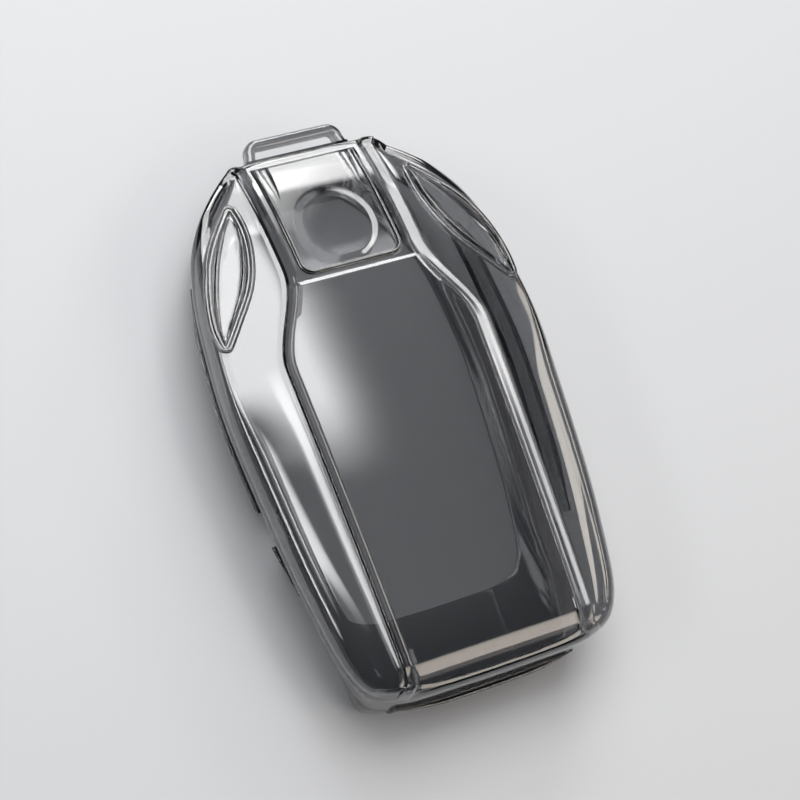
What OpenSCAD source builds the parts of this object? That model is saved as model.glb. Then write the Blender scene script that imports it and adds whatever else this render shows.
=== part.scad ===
/* [Overall] */
// Length of the closed cover over its two end walls, without the key loop
body_l = 93.4; // [84:0.1:104]
// Width at the widest place, just above the middle of the length
body_w = 59.6; // [54:0.1:68]
// Height from the rear rim, which rests on the table, to the crown of the front
body_h = 18.5; // [17:0.1:22]
// Wall thickness of both shells
wall_t = 1.2; // [0.9:0.05:1.5]
// Height of the widest line of the side wall, as a share of the whole height
waist_share = 0.675; // [0.64:0.005:0.7]

/* [Front shell] */
// Height of the front shell's lower edge, as a share of the whole height
seam_share = 0.335; // [0.32:0.005:0.37]
// Radius of the long, nearly flat arc that the front follows
crown_r = 806; // [600:1:1200]
// How far that arc has fallen away at the key loop, as a share of the whole height
fall_share = 0.238; // [0.2:0.002:0.26]
// How far the front drops from a rail down to the shoulder crease
wing_drop = 1.6; // [1:0.1:2.2]
// Width of the rounded shoulder outside the crease
shoulder_w = 3.3; // [2.6:0.1:3.8]
// Inward lean of the side wall at mid length, in width for each unit of height
side_lean = 0.5; // [0.45:0.01:0.6]
// Inward lean of the side wall towards both ends
end_lean = 0.38; // [0.3:0.01:0.5]

/* [Rails] */
// Width of a rail's flat crest
rail_w = 1.5; // [1.1:0.1:1.8]
// How far that crest falls towards the middle of the cover
crest_lean = 0.3; // [0.1:0.05:0.4]
// Width of each sloped flank of a rail
rail_flank = 0.45; // [0.3:0.05:0.6]
// Height of the rails above the panel between them
rail_h = 0.9; // [0.5:0.05:1.2]
// Distance from the middle to a rail's centre line beside the button panel
rail_top_x = 11.85; // [11.6:0.05:12.1]
// Distance from the middle to a rail's centre line at its widest place
rail_wide_x = 17.75; // [17:0.05:18.4]
// Distance from the middle to a rail's centre line at the bottom end
rail_end_x = 16.5; // [15.5:0.05:17]

/* [Button panel] */
// Width of the press panel between the rails
panel_w = 19.2; // [18.6:0.1:19.4]
// Length of the press panel from its hinge edge to its free edge
panel_l = 20.9; // [20:0.1:21.2]
// Thickness of the press panel and the leaf pads
pad_t = 1.0; // [0.8:0.05:1.1]
// Radius of the panel's two free corners
panel_corner_r = 2.4; // [1.5:0.1:3.5]
// Width of the raised bead round the panel and the leaf pads
bead_w = 0.7; // [0.5:0.05:0.9]
// Height of that bead
bead_h = 0.35; // [0.2:0.05:0.5]
// Radius of the shallow round recess, which is left bare
disc_r = 7.3; // [6.6:0.05:7.6]
// Depth of that recess
disc_depth = 0.25; // [0.15:0.05:0.3]
// Running gap round each press piece
press_gap = 0.25; // [0.2:0.05:0.35]

/* [Rear shell] */
// Width of the flat rim beside the rear opening at its widest place
side_rim_w = 1; // [0.6:0.1:6]
// Length of the rear rim from the bottom end wall to the rear opening
low_rim_l = 14.7; // [6:0.1:18]
// Length of the rear rim from the rear opening to the top end wall
high_rim_l = 7; // [5:0.1:18]
// Radius of the rounded edge on which the rear frame rests
foot_r = 1.8; // [1:0.1:2.4]
// Height of the clip lip above the seat of the front shell
lip_h = 1.6; // [1.2:0.1:2]
// Thickness of the clip lip
lip_t = 1.2; // [0.8:0.05:1.2]
// Gap between the clip lip and the front shell
lip_gap = 0.2; // [0.15:0.05:0.3]
// Gap under the front shell's lower edge
seat_gap = 0.1; // [0.05:0.05:0.2]
// Length of the cut-out for the key's side button, on the left
side_cut_l = 5.9; // [5:0.1:7]
// Height of that cut-out
side_cut_h = 6.2; // [5.4:0.1:6.6]

/* [Key loop] */
// Distance that the loop stands out from the top end
loop_reach = 3.9; // [3.6:0.1:5.5]
// Width over the loop
loop_w = 19; // [16:0.1:21]
// Height of the loop's bar
loop_h = 2.4; // [1.8:0.1:2.8]
// Width of the loop's bar in the plane of the loop
loop_bar = 1.9; // [1.5:0.1:2.2]
// Radius of the loop's outer corners
loop_corner_r = 2.6; // [2:0.1:3]
// Height of the loop's underside above the seam
loop_rise = 2.2; // [1.9:0.1:2.6]

/* [Hidden] */

// One overrun serves every cut.
over = 2;
waist_z = waist_share * body_h;
seam_z = seam_share * body_h;
loop_z = seam_z + loop_rise;
end_lip = lip_t + lip_gap;
total_l = body_l + end_lip + loop_reach;
// The bottom and top end walls, with the whole cover centred on its origin.
low_y = -total_l / 2 + end_lip;
high_y = low_y + body_l;
half_w = body_w / 2;
clear_tint = [0.72, 0.76, 0.78, 0.55];
pad_tint = [0.62, 0.68, 0.72, 0.55];

// Half outline at the waist, from the bottom centre round to the top centre.
// Each pair is a share of the half width and a share of the length.
waist_shares = [[0, 0], [0.285, 0.001], [0.497, 0.003], [0.638, 0.012], [0.735, 0.026],
    [0.802, 0.05], [0.847, 0.082], [0.878, 0.124], [0.906, 0.181], [0.936, 0.251], [0.958, 0.324],
    [0.975, 0.399], [0.99, 0.473], [1, 0.548], [0.993, 0.613], [0.975, 0.677], [0.951, 0.741],
    [0.909, 0.804], [0.846, 0.859], [0.747, 0.908], [0.639, 0.945], [0.55, 0.97], [0.487, 0.986],
    [0.43, 0.997], [0.302, 0.999], [0, 1]];
corner_share = 4.6;
crest_share = 21.2;
last_share = len(waist_shares) - 1;

function mix(a, b, t) = a + (b - a) * t;
function unit(v) = v / norm(v);
function ease(t) = let (c = min(1, max(0, t))) c * c * (3 - 2 * c);
function clip_index(i) = min(last_share, max(0, i));
function spline(p0, p1, p2, p3, t) =
    p1 + (p2 - p0) * t / 2 + (2 * p0 - 5 * p1 + 4 * p2 - p3) * t * t / 2
    + (3 * p1 - p0 - 3 * p2 + p3) * t * t * t / 2;
function outline_place(s) =
    let (i = min(last_share - 1, floor(s)), t = s - i,
        p0 = waist_shares[clip_index(i - 1)], p3 = waist_shares[clip_index(i + 2)],
        before = i == 0 ? [-waist_shares[1][0], waist_shares[1][1]] : p0,
        after = i == last_share - 1 ? [-waist_shares[last_share - 1][0],
            waist_shares[last_share - 1][1]] : p3)
    spline(before, waist_shares[i], waist_shares[i + 1], after, t);
function waist(s) =
    let (p = outline_place(s)) [p[0] * half_w, low_y + p[1] * body_l];
probe_share = 0.05;
function outward(s) =
    s == 0 ? [0, -1]
    : s == last_share ? [0, 1]
    : let (d = waist(min(last_share, s + probe_share)) - waist(max(0, s - probe_share)))
    unit([d[1], -d[0]]);

// The front's crest line seen from the side.
crown_y = low_y + 0.33 * body_l;
fall_y = low_y + 0.72 * body_l;
nose_y = low_y + 0.064 * body_l;
nose_r = 5;
function crest_z(y) =
    body_h - pow(y - crown_y, 2) / (2 * crown_r)
    - fall_share * body_h * pow(max(0, y - fall_y) / (high_y - fall_y), 2)
    - pow(max(0, nose_y - y), 2) / (2 * nose_r);

// The rails run close together beside the panel, then swing out and run down to the bottom end.
swing_low_y = low_y + 0.602 * body_l;
swing_high_y = low_y + 0.778 * body_l;
function rail_x(y) =
    y > swing_low_y
    ? mix(rail_wide_x, rail_top_x, ease((y - swing_low_y) / (swing_high_y - swing_low_y)))
    : mix(rail_wide_x, rail_end_x, (swing_low_y - y) / (swing_low_y - low_y));

// The shoulder narrows from where the cover is widest up to the leaf pads.
narrow_y = low_y + 0.46 * body_l;
narrow_l = 0.17 * body_l;
narrow_share = 0.45;
end_share = 0.15;
low_share = 0.42;
top_run_share = (last_share - crest_share) / 3;
low_run_share = 3;
function shoulder(s) =
    let (q = waist(s), near = ease((q[1] - narrow_y) / narrow_l),
        top = ease((s - crest_share) / top_run_share),
        low = ease((corner_share + 1 - s) / low_run_share))
    shoulder_w * (1 - narrow_share * near) * (1 - (1 - end_share) * top)
    * (1 - (1 - low_share) * low);
function crease(s) = waist(s) - outward(s) * shoulder(s);

// The screen window stands a little proud below a step across the front.
step_y = low_y + 0.748 * body_l;
step_w = 0.3;
step_h = 0.3;
front_low_y = crease(0)[1];
front_high_y = crease(last_share)[1];
low_rows = 25;
high_rows = 11;
row_ys = concat(
    [for (i = [0 : low_rows]) mix(front_low_y, step_y - step_w / 2, i / low_rows)],
    [for (i = [0 : high_rows]) mix(step_y + step_w / 2, front_high_y, i / high_rows)]);
row_count = len(row_ys);
row_span = front_high_y - front_low_y;
function row_side_share(i) =
    mix(corner_share, crest_share, (row_ys[i] - front_low_y) / row_span);
halvings = 12;
function side_share_at(y, s = corner_share, e = crest_share, n = halvings) =
    let (m = (s + e) / 2)
    n == 0 ? m : crease(m)[1] < y ? side_share_at(y, m, e, n - 1) : side_share_at(y, s, m, n - 1);
corner_y = crease(corner_share)[1];
top_corner_y = crease(crest_share)[1];
function row_side(i) =
    i == 0 ? corner_share
    : i == row_count - 1 ? crest_share
    : side_share_at(mix(corner_y, top_corner_y, (row_ys[i] - front_low_y) / row_span));

// Columns: the middle, the panel, four lines of a rail, the wing and the crease.
wing_shares = [0.34, 0.68, 1];
function column_xs(i) =
    let (y = row_ys[i], c = rail_x(y), a = rail_w / 2, b = a + rail_flank,
        side = crease(row_side(i))[0])
    concat([0, (c - b) / 2, c - b, c - a, c + a, c + b],
        [for (w = wing_shares) mix(c + b, side, w)]);
column_count = len(column_xs(0));
panel_column = 2;
crest_columns = [3, 4];
wing_column = 5;
bow_power = 5;
screen_power = 4;
wing_power = 1.6;
function on_screen(y) = 1 - ease((y - step_y) / step_w + 1 / 2);
function panel_z(x, y) =
    crest_z(y) - rail_h + on_screen(y) * step_h * (1 - pow(x / rail_wide_x, screen_power));
function wing_z(x, y, side) =
    let (foot = rail_x(y) + rail_w / 2 + rail_flank,
        w = min(1, max(0, (x - foot) / max(wall_t, side - foot))))
    crest_z(y) - rail_h / 2 - (wing_drop - rail_h / 2) * pow(w, wing_power);
function front_place(i, j) =
    let (xs = column_xs(i), x = xs[j], side = crease(row_side(i)),
        y = row_ys[i] + (side[1] - row_ys[i]) * pow(x / side[0], bow_power),
        z = j <= panel_column ? panel_z(x, y)
            : j == crest_columns[0] ? crest_z(y) - crest_lean
            : j == crest_columns[1] ? crest_z(y)
            : wing_z(x, y, side[0]))
    [x, y, z];

// The same place seen from the left, for a signed column.
function front_point(i, k) =
    let (p = front_place(i, abs(k))) [k < 0 ? -p[0] : p[0], p[1], p[2]];
reach = column_count - 1;
wide = 2 * reach + 1;

// The border of that field, anticlockwise from the bottom left, and its place on the waist.
bottom_span = [for (k = [-reach : reach - 1]) [0, k]];
right_span = [for (i = [0 : row_count - 2]) [i, reach]];
top_span = [for (k = [reach : -1 : -reach + 1]) [row_count - 1, k]];
left_span = [for (i = [row_count - 1 : -1 : 1]) [i, -reach]];
border = concat(bottom_span, right_span, top_span, left_span);
border_count = len(border);
function share_at_x(x, s, e, up, n = halvings) =
    let (m = (s + e) / 2, more = waist(m)[0] < x)
    n == 0 ? m : (up ? more : !more) ? share_at_x(x, m, e, up, n - 1) : share_at_x(x, s, m, up, n - 1);
function border_share(b) =
    let (i = b[0], k = abs(b[1]))
    k == reach ? row_side(i)
    : i == 0 ? share_at_x(front_place(0, k)[0] * waist(corner_share)[0] / crease(corner_share)[0],
        0, corner_share, true)
    : share_at_x(front_place(i, k)[0] * waist(crest_share)[0] / crease(crest_share)[0],
        crest_share, last_share, false);
function mirrored(p, k) = [k < 0 ? -p[0] : p[0], p[1]];
border_waist = [for (b = border) mirrored(waist(border_share(b)), b[1])];
border_out = [for (b = border)
    let (p = front_point(b[0], b[1]), n = outward(border_share(b)))
    mirrored(n, b[1])];

// Rings of the shoulder and the wall, from the crease to the lower edge.
shoulder_steps = 5;
wall_steps = 2;
least_drop = 0.5;
drop_share = 1.1;
lean_low_y = low_y + 0.13 * body_l;
lean_high_y = low_y + 0.86 * body_l;
lean_run = 0.12 * body_l;
function lean(n, y) =
    n[0] * n[0] * mix(end_lean, side_lean,
        ease((y - lean_low_y) / lean_run) * ease((lean_high_y - y) / lean_run));
function wall_in(n, y, z) = lean(n, y) * max(0, waist_z - z);
function ring_low(p, inset) = min(waist_z, p[2] - least_drop, p[2] - drop_share * inset);

// The inner skin's border steps back where the shoulder is narrower than the wall is thick.
function step_back(p, w, n, inset) =
    [p[0], p[1]] - n * max(0, inset - norm(w - [p[0], p[1]]));
function shoulder_ring(t, inset) =
    [for (m = [0 : border_count - 1])
        let (p = front_point(border[m][0], border[m][1]), w = border_waist[m], n = border_out[m],
            a = 90 * t, flat = mix(step_back(p, w, n, inset), w - n * inset, sin(a)))
        [flat[0], flat[1], mix(p[2] - inset, ring_low(p, inset), 1 - cos(a))]];
function wall_ring(t, inset) =
    [for (m = [0 : border_count - 1])
        let (p = front_point(border[m][0], border[m][1]), w = border_waist[m], n = border_out[m],
            z = mix(ring_low(p, inset), seam_z, t), flat = w - n * (wall_in(n, w[1], z) + inset))
        [flat[0], flat[1], z]];
function skirt(inset) = concat(
    [for (r = [1 : shoulder_steps]) each shoulder_ring(r / shoulder_steps, inset)],
    [for (r = [1 : wall_steps]) each wall_ring(r / wall_steps, inset)]);
function on_border(i, k) = i == 0 || i == row_count - 1 || abs(k) == reach;
function field_point(i, k, inset) =
    let (p = front_point(i, k))
    !on_border(i, k) || inset == 0 ? p - [0, 0, inset]
    : let (s = border_share([i, k]), n = mirrored(outward(s), k),
        flat = step_back(p, mirrored(waist(s), k), n, inset))
    [flat[0], flat[1], p[2] - inset];
function field(inset) =
    [for (i = [0 : row_count - 1]) for (k = [-reach : reach]) field_point(i, k, inset)];

field_count = row_count * wide;
ring_count = shoulder_steps + wall_steps;
skin_count = field_count + ring_count * border_count;
function field_id(i, k) = i * wide + k + reach;
function ring_id(r, m) =
    r == 0 ? field_id(border[m % border_count][0], border[m % border_count][1])
    : field_count + (r - 1) * border_count + m % border_count;
function quad(a, b, c, d) = [[a, b, c], [a, c, d]];
field_faces = [for (i = [0 : row_count - 2]) for (k = [-reach : reach - 1])
    each quad(field_id(i, k), field_id(i + 1, k), field_id(i + 1, k + 1), field_id(i, k + 1))];
skirt_faces = [for (r = [0 : ring_count - 1]) for (m = [0 : border_count - 1])
    each quad(ring_id(r, m), ring_id(r, m + 1), ring_id(r + 1, m + 1), ring_id(r + 1, m))];
edge_faces = [for (m = [0 : border_count - 1])
    each quad(ring_id(ring_count, m), ring_id(ring_count, m + 1),
        ring_id(ring_count, m + 1) + skin_count, ring_id(ring_count, m) + skin_count)];
function turned(faces) = [for (f = faces) [f[0], f[2], f[1]]];
function moved(faces, by) = [for (f = faces) [f[0] + by, f[1] + by, f[2] + by]];

module front_skin()
{
    outer_faces = concat(field_faces, skirt_faces);
    polyhedron(
        points = concat(field(0), skirt(0), field(wall_t), skirt(wall_t)),
        faces = concat(outer_faces, edge_faces, turned(moved(outer_faces, skin_count))));
}

// The leaf pad's two edges, from its top tip to its bottom tip.
// Each pair is a share of the half width and a share of the length.
leaf_inner_shares = [[0.567, 0.912], [0.563, 0.884], [0.569, 0.858], [0.586, 0.832],
    [0.613, 0.805], [0.646, 0.781], [0.687, 0.759], [0.735, 0.739], [0.784, 0.72],
    [0.834, 0.7], [0.893, 0.677]];
leaf_outer_shares = [[0.567, 0.912], [0.632, 0.889], [0.69, 0.868], [0.742, 0.846],
    [0.785, 0.825], [0.82, 0.801], [0.849, 0.777], [0.872, 0.752], [0.888, 0.728],
    [0.897, 0.702], [0.893, 0.677]];
leaf_steps = len(leaf_inner_shares) - 1;
function leaf_edge(shares) = [for (p = shares) [p[0] * half_w, low_y + p[1] * body_l]];
leaf_ring = concat(leaf_edge(leaf_inner_shares),
    [for (i = [leaf_steps - 1 : -1 : 1]) leaf_edge(leaf_outer_shares)[i]]);
// Places across a leaf pad, with the height share of each: the bead stands along both edges.
cross_shares = [0, 0.06, 0.13, 0.2, 0.5, 0.8, 0.87, 0.94, 1];
bead_height_shares = [0, 1, 1, 0, 0, 0, 1, 1, 0];
cross_count = len(cross_shares);
leaf_crown = 0.25;
function side_x_at(y) = crease(side_share_at(y))[0];
function leaf_top(p, w) =
    wing_z(p[0], p[1], side_x_at(p[1])) + leaf_crown * 4 * w * (1 - w);
function leaf_row(i) =
    let (a = leaf_edge(leaf_inner_shares)[i], b = leaf_edge(leaf_outer_shares)[i],
        near = norm(b - a) / (2 * bead_w))
    [for (c = [0 : cross_count - 1])
        let (p = mix(a, b, cross_shares[c]))
        [p[0], p[1], leaf_top(p, cross_shares[c]) + bead_h * bead_height_shares[c] * min(1, near)]];

module right_pad_body()
{
    rows = [for (i = [1 : leaf_steps - 1]) each leaf_row(i)];
    row_total = leaf_steps - 1;
    tips = [leaf_row(0)[0], leaf_row(leaf_steps)[0]];
    top = concat(rows, tips);
    under = [for (p = top) [p[0], p[1], p[2] - pad_t]];
    first_tip = len(rows);
    last_tip = first_tip + 1;
    body_faces = [for (i = [0 : row_total - 2]) for (c = [0 : cross_count - 2])
        let (a = i * cross_count + c)
        each quad(a, a + 1, a + cross_count + 1, a + cross_count)];
    tip_faces = [for (c = [0 : cross_count - 2])
        each [[first_tip, c + 1, c],
            [last_tip, (row_total - 1) * cross_count + c, (row_total - 1) * cross_count + c + 1]]];
    loop_ids = concat([first_tip], [for (i = [0 : row_total - 1]) i * cross_count], [last_tip],
        [for (i = [row_total - 1 : -1 : 0]) i * cross_count + cross_count - 1]);
    n = len(top);
    turns = len(loop_ids);
    wall_faces = [for (m = [0 : turns - 1])
        each quad(loop_ids[m], loop_ids[(m + 1) % turns], loop_ids[(m + 1) % turns] + n,
            loop_ids[m] + n)];
    upper = concat(body_faces, tip_faces);
    polyhedron(points = concat(top, under),
        faces = concat(upper, wall_faces, turned(moved(upper, n))));
}

module right_leaf_pad()
{
    color(pad_tint) right_pad_body();
}

module left_leaf_pad()
{
    color(pad_tint) mirror([1, 0, 0]) right_pad_body();
}

// Parts of the shell outside a leaf pad carry a border that follows it.
border_w = 0.7;
border_h = 0.3;
border_gap = 0.2;
function ring_at(ring, i) = ring[(i + len(ring)) % len(ring)];
function ring_out(ring, i) =
    let (d = ring_at(ring, i + 1) - ring_at(ring, i - 1)) unit([-d[1], d[0]]);
module leaf_border()
{
    count = len(leaf_ring);
    away = press_gap + border_gap + border_w / 2;
    places = [for (i = [0 : count - 1]) ring_at(leaf_ring, i) + ring_out(leaf_ring, i) * away];
    for (i = [0 : count - 1])
        hull()
        {
            border_post(ring_at(places, i));
            border_post(ring_at(places, i + 1));
        }
}

module border_post(p)
{
    z = wing_z(p[0], p[1], side_x_at(p[1]));
    translate([p[0], p[1], z - border_h]) cylinder(2 * border_h, border_w / 2, border_w / 4, $fn = 6);
}

module leaf_opening()
{
    translate([0, 0, waist_z - wall_t / 2])
        linear_extrude(body_h) offset(delta = press_gap) polygon(leaf_ring);
}

// The press panel hangs on its top edge and is cut free on its other three sides.
hinge_gap = 0.1;
hinge_y = front_high_y - wall_t - hinge_gap;
panel_low_y = hinge_y - panel_l;
panel_rows = 12;
module panel_outline(grow, top)
{
    w = panel_w / 2 + grow;
    r = panel_corner_r + grow;
    low = panel_low_y - grow;
    translate([r - w, low]) square([2 * (w - r), r]);
    translate([-w, low + r]) square([2 * w, hinge_y + top - low - r]);
    for (side = [-1, 1])
        translate([side * (w - r), low + r]) circle(r, $fn = 32);
}

function panel_top(y) = crest_z(y) - rail_h;

// A layer of the panel between two depths below its surface, wider than the panel.
module panel_layer(deep, high)
{
    ys = [for (i = [0 : panel_rows])
        mix(panel_low_y - press_gap, hinge_y + press_gap, i / panel_rows)];
    above = [for (y = ys) [y, panel_top(y) + high]];
    below = [for (i = [panel_rows : -1 : 0]) [ys[i], panel_top(ys[i]) - deep]];
    rotate([90, 0, 90]) linear_extrude(panel_w + rail_w, center = true) polygon(concat(above, below));
}

// The bead runs down one side, round the free end and up the other side.
bead_edge = 0.15;
bead_in = bead_w / 2 + bead_edge;
bead_x = panel_w / 2 - bead_in;
bead_low_y = panel_low_y + bead_in;
bead_r = panel_corner_r - bead_in;
bead_top_y = hinge_y - bead_in;
side_marks = 6;
corner_marks = 4;
bead_half = concat([[0, bead_low_y]],
    [for (i = [0 : corner_marks])
        let (a = 90 * i / corner_marks)
        [bead_x - bead_r + bead_r * sin(a), bead_low_y + bead_r - bead_r * cos(a)]],
    [for (i = [1 : side_marks]) [bead_x, mix(bead_low_y + bead_r, bead_top_y, i / side_marks)]]);

module bead_post(p)
{
    translate([p[0], p[1], panel_top(p[1]) - bead_h]) cylinder(2 * bead_h, bead_w / 2, bead_w / 4, $fn = 8);
}

module panel_bead()
{
    for (side = [0, 1])
        mirror([side, 0, 0])
            for (i = [0 : len(bead_half) - 2])
                hull()
                {
                    bead_post(bead_half[i]);
                    bead_post(bead_half[i + 1]);
                }
}

disc_y = low_y + 0.838 * body_l;
flute_x = 0.4 * panel_w;
flute_l = 0.31 * panel_l;
flute_r = 0.9;
flute_tip_r = 0.3;
flute_depth = 0.3;
module flute_post(y, r)
{
    translate([flute_x, y, panel_top(y) - flute_depth]) cylinder(over, r, r, $fn = 8);
}

module panel_plate()
{
    difference()
    {
        intersection()
        {
            panel_layer(pad_t, 0);
            translate([0, 0, seam_z]) linear_extrude(body_h) panel_outline(0, 0);
        }
        intersection()
        {
            panel_layer(disc_depth, over);
            translate([0, disc_y, seam_z]) cylinder(body_h, disc_r, disc_r, $fn = 64);
        }
    }
}

module button_panel()
{
    color(pad_tint)
    difference()
    {
        union()
        {
            panel_plate();
            panel_bead();
        }
        for (side = [0, 1])
            mirror([side, 0, 0])
                hull()
                {
                    flute_post(hinge_y + flute_r / 3, flute_r);
                    flute_post(hinge_y - flute_l, flute_tip_r);
                }
    }
}

// A flat seat on the top end wall carries the key loop.
seat_step = 0.3;
seat_y = high_y + seat_step;
module loop_seat()
{
    translate([-loop_w / 2, high_y - wall_t / 2, loop_z])
        cube([loop_w, seat_y - high_y + wall_t / 2, loop_h]);
}

inner_r = 1;
cut_high_y = low_y + 0.397 * body_l;
cut_low_y = cut_high_y - side_cut_l;
side_cut_low = wall_t + inner_r;
side_cut_top = side_cut_low + side_cut_h;
module side_cut(low, high)
{
    translate([-body_w, cut_low_y, low]) cube([body_w / 2 + half_w - rail_wide_x, side_cut_l, high - low]);
}

module front_shell()
{
    color(clear_tint)
    difference()
    {
        union()
        {
            front_skin();
            for (side = [0, 1])
                mirror([side, 0, 0]) leaf_border();
            loop_seat();
        }
        translate([0, 0, seam_z]) linear_extrude(body_h) panel_outline(press_gap, hinge_gap);
        for (side = [0, 1])
            mirror([side, 0, 0]) leaf_opening();
        side_cut(seam_z - over, side_cut_top);
    }
}

// The loop is a flat bail with two legs on the seat.
leg_splay = 0.3;
module key_loop()
{
    far_y = high_y + loop_reach;
    w = loop_w / 2;
    slot_w = w - loop_bar - leg_splay;
    slot_r = loop_corner_r / 3;
    color(clear_tint)
    translate([0, 0, loop_z])
    linear_extrude(loop_h)
    difference()
    {
        hull()
        {
            translate([-w, seat_y]) square([2 * w, loop_bar / 2]);
            for (side = [-1, 1])
                translate([side * (w - leg_splay - loop_corner_r), far_y - loop_corner_r])
                    circle(loop_corner_r, $fn = 48);
        }
        translate([-loop_w, seat_y - loop_w]) square([2 * loop_w, loop_w]);
        hull()
        {
            translate([-slot_w, seat_y - over]) square([2 * slot_w, over]);
            for (side = [-1, 1])
                translate([side * (slot_w - slot_r), far_y - loop_bar - slot_r])
                    circle(slot_r, $fn = 24);
        }
    }
}

// The rear frame is one cross section led round the outline.
ring_step = 0.5;
foot_share = 0.3;
half_marks = last_share / ring_step;
ring_marks = concat([for (i = [0 : half_marks]) [i * ring_step, 1]],
    [for (i = [half_marks - 1 : -1 : 1]) [i * ring_step, -1]]);
mark_count = len(ring_marks);
seat_z = seam_z - seat_gap;
function wall_place(s, out, z) =
    let (n = outward(s), w = waist(s), p = w + n * (out - wall_in(n, w[1], z))) [p[0], p[1], z];
opening_x = half_w - side_lean * waist_z - foot_r - side_rim_w;
opening_l = body_l - low_rim_l - high_rim_l;
function opening_place(s, z) =
    let (p = waist(s))
    [p[0] * opening_x / half_w, low_y + low_rim_l + (p[1] - low_y) * opening_l / body_l, z];
function frame_section(s) = [
    wall_place(s, 0, seat_z), wall_place(s, 0, foot_r),
    wall_place(s, -foot_share * foot_r, foot_share * foot_r), wall_place(s, -foot_r, 0),
    opening_place(s, 0), opening_place(s, wall_t),
    wall_place(s, -wall_t - inner_r, wall_t), wall_place(s, -wall_t, wall_t + inner_r),
    wall_place(s, -wall_t, seat_z)];
section_count = len(frame_section(0));
function frame_id(m, k) = (m % mark_count) * section_count + k % section_count;
module rear_frame()
{
    polyhedron(
        points = [for (m = ring_marks) each [for (p = frame_section(m[0])) [m[1] * p[0], p[1], p[2]]]],
        faces = [for (m = [0 : mark_count - 1]) for (k = [0 : section_count - 1])
            each quad(frame_id(m, k), frame_id(m + 1, k), frame_id(m + 1, k + 1), frame_id(m, k + 1))]);
}

// Lips outside the front shell's wall clip it in place, and ribs inside its end walls line it up.
// Both grow out of the rear frame's wall below the seam and thin out towards their ends.
clip_foot = 2.2;
clip_root = 0.8;
rib_t = 0.8;
rib_h = 2;
rib_gap = 0.5;
low_lip_share = 2.4;
side_lip_shares = [8.8, 17.2];
low_rib_share = 3.2;
high_rib_share = 22;
taper_share = 1.6;
thin_share = 0.45;
function thinned(s, ends, t) =
    t * mix(thin_share, 1, ease((s - ends[0]) / taper_share) * ease((ends[1] - s) / taper_share));
module clip_disc(s, out, z, r)
{
    translate(wall_place(s, out, z)) cylinder(clip_root / 4, r, r, $fn = 8);
}

module clip_post(s, out, r, high)
{
    clip_disc(s, out, seam_z - clip_root, r);
    clip_disc(s, out, seam_z + high - clip_root / 4, r);
}

module clip_base(s, out, r, root)
{
    clip_disc(s, out, seam_z - clip_root, r);
    clip_disc(s, root, seam_z - clip_foot, r);
    clip_disc(s, root, seam_z - clip_root, r);
}

module lip(ends, start, end, pieces)
{
    for (i = [0 : pieces - 1])
    {
        marks = [mix(start, end, i / pieces), mix(start, end, (i + 1) / pieces)];
        hull()
            for (s = marks)
                clip_post(s, lip_gap + thinned(s, ends, lip_t) / 2, thinned(s, ends, lip_t) / 2, lip_h);
        hull()
            for (s = marks)
                clip_base(s, lip_gap + thinned(s, ends, lip_t) / 2, thinned(s, ends, lip_t) / 2,
                    -lip_t / 3);
    }
}

module rib(ends, start, end, pieces)
{
    out = -wall_t - rib_gap - rib_t / 2;
    for (i = [0 : pieces - 1])
    {
        marks = [mix(start, end, i / pieces), mix(start, end, (i + 1) / pieces)];
        hull()
            for (s = marks)
                clip_post(s, out, thinned(s, ends, rib_t) / 2, thinned(s, ends, rib_h));
        hull()
            for (s = marks)
                clip_base(s, out, thinned(s, ends, rib_t) / 2, -2 * wall_t / 3);
    }
}

module rear_shell()
{
    color(clear_tint)
    difference()
    {
        union()
        {
            rear_frame();
            for (side = [0, 1])
                mirror([side, 0, 0])
                {
                    lip([-low_lip_share, low_lip_share], 0, low_lip_share, 4);
                    lip(side_lip_shares, side_lip_shares[0], side_lip_shares[1], 8);
                    rib([-low_rib_share, low_rib_share], 0, low_rib_share, 4);
                    rib([high_rib_share, 2 * last_share - high_rib_share], high_rib_share,
                        last_share, 4);
                }
        }
        side_cut(side_cut_low, side_cut_top);
    }
}

front_shell();
rear_shell();
key_loop();
button_panel();
left_leaf_pad();
right_leaf_pad();
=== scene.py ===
import math
import bpy
from mathutils import Matrix, Vector


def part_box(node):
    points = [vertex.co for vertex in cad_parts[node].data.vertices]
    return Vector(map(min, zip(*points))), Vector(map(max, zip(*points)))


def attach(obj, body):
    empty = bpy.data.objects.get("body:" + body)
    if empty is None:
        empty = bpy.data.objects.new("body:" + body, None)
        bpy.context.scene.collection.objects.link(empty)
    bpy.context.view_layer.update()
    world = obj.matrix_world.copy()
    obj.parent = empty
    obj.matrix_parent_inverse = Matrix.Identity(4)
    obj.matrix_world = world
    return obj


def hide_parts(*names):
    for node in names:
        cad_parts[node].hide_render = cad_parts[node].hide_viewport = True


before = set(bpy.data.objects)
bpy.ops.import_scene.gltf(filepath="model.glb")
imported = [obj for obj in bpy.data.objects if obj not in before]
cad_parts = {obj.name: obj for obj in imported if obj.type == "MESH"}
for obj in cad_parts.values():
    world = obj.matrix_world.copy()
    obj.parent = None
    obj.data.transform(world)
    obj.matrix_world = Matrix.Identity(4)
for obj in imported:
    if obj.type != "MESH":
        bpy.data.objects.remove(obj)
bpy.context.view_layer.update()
mm = 0.001

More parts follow.
